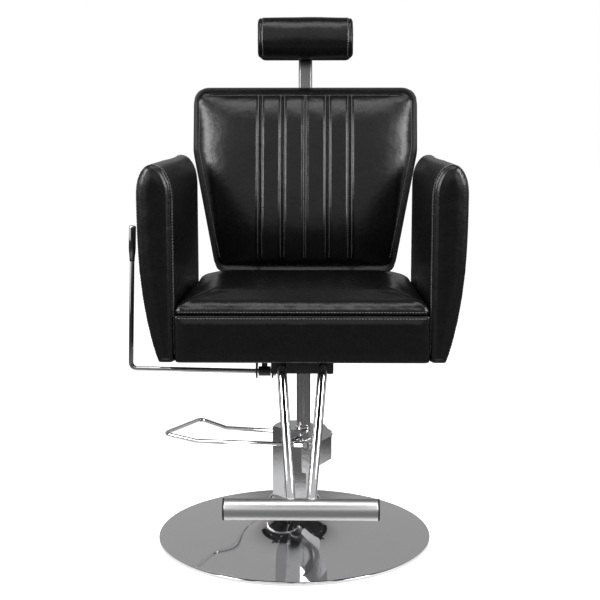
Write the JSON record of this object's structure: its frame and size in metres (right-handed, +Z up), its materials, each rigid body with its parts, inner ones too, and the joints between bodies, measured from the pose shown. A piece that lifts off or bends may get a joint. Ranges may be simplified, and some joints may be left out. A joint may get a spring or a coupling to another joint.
{
  "type": "barber chair",
  "caption": "Hydraulic barber chair with round base, foot pump, swivel seat, slab arms, reclining channelled back, sliding headrest and fixed footrest.",
  "frame": {"origin": "on the floor, straight under the axis of the piston and the swivel", "axes": "+Z up along the piston, -Y towards the front where the sitter faces, +X towards the sitter's left side, away from the recline lever"},
  "size_m": [0.6823, 0.8074, 1.1658],
  "materials": {
    "chrome": "polished",
    "satin_steel": "satin",
    "zinc_steel": "satin",
    "black_steel": "satin",
    "cast_ballast": "matte",
    "black_rubber": "matte",
    "black_plastic": "matte",
    "black_leather": "satin"
  },
  "bodies": {
    "base": {"base_cover": "chrome", "foot_rubber": "black_rubber", "floor_plate": "zinc_steel", "ballast_disc": "cast_ballast", "base_bolts": "zinc_steel", "pump_cylinder": "zinc_steel", "pump_skirt": "chrome", "pump_cap": "chrome", "seal_ring": "chrome", "pump_head": "chrome"},
    "plunger": {"pump_plunger": "zinc_steel"},
    "pedal": {"pedal_shaft": "zinc_steel", "pedal_hubs": "chrome", "pedal_bar": "chrome", "pedal_screws": "zinc_steel"},
    "piston": {"piston": "chrome"},
    "seat": {"swivel_hub": "black_steel", "swivel_bolts": "zinc_steel", "seat_plate": "black_steel", "seat_screws": "zinc_steel", "seat_box": "black_leather", "seat_cushion": "black_leather", "arm_left": "black_leather", "arm_right": "black_leather", "arm_straps": "black_steel", "arm_screws": "zinc_steel", "leg_clamp": "black_steel", "clamp_bolts": "zinc_steel", "footrest_leg_left": "chrome", "footrest_leg_right": "chrome", "foot_bar": "satin_steel", "foot_bar_caps": "black_rubber", "lever_bracket": "black_steel", "gas_rod": "chrome", "gas_rod_nut": "zinc_steel", "rear_frame": "black_steel"},
    "lever": {"lever_shaft": "chrome", "lever_rod": "chrome", "lever_grip": "chrome", "lever_hub": "black_steel", "lever_nut": "zinc_steel"},
    "release_pin": {"release_pin": "chrome"},
    "gas_cylinder": {"gas_cylinder": "black_steel"},
    "back": {"recline_shaft": "zinc_steel", "hinge_bushes": "black_plastic", "shaft_clips": "zinc_steel", "recline_crank": "black_steel", "crank_pin": "zinc_steel", "back_arms": "black_steel", "back_screws": "zinc_steel", "back_shell": "black_leather", "back_cushion": "black_leather", "post_sleeve": "chrome"},
    "headrest": {"headrest_post": "chrome", "headrest_plate": "chrome", "headrest_screws": "zinc_steel", "headrest_board": "black_leather", "headrest_cushion": "black_leather"}
  },
  "joints": [
    {"name": "lift", "type": "slide", "parent": "base", "child": "piston", "axis": [0, 0, 1], "range_m": [-0.125, 0.015]},
    {"name": "swivel", "type": "hinge", "parent": "piston", "child": "seat", "pos_m": [0, 0, 0.425], "axis": [0, 0, 1], "continuous": true},
    {"name": "pedal_press", "type": "hinge", "parent": "base", "child": "pedal", "pos_m": [0.02951, -0.01723, 0.224], "axis": [-0.454, -0.891, 0], "range_deg": [0, 24], "stiffness_Nm_per_rad": 6, "springref_deg": -22.92},
    {"name": "plunger_stroke", "type": "slide", "parent": "base", "child": "plunger", "axis": [0, 0, -1], "range_m": [0, 0.0039]},
    {"name": "recline", "type": "hinge", "parent": "seat", "child": "back", "pos_m": [0, 0.255, 0.461], "axis": [-1, 0, 0], "range_deg": [0, 45]},
    {"name": "gas_stroke", "type": "slide", "parent": "seat", "child": "gas_cylinder", "axis": [0, -1, 0], "range_m": [0, 0.0383]},
    {"name": "lever_pull", "type": "hinge", "parent": "seat", "child": "lever", "pos_m": [-0.08, -0.1, 0.393], "axis": [-1, 0, 0], "range_deg": [0, 15], "stiffness_Nm_per_rad": 1.5, "springref_deg": -11.46},
    {"name": "release_stroke", "type": "slide", "parent": "seat", "child": "release_pin", "axis": [0, 1, 0], "range_m": [0, 0.00576]},
    {"name": "headrest_slide", "type": "slide", "parent": "back", "child": "headrest", "axis": [0, 0.2079, 0.9781], "range_m": [-0.055, 0.05]}
  ],
  "couplings": [
    {"joint": "plunger_stroke", "follows": "pedal_press", "m_per_rad": 0.0092},
    {"joint": "gas_stroke", "follows": "recline", "m_per_rad": 0.048725},
    {"joint": "release_stroke", "follows": "lever_pull", "m_per_rad": 0.022}
  ]
}
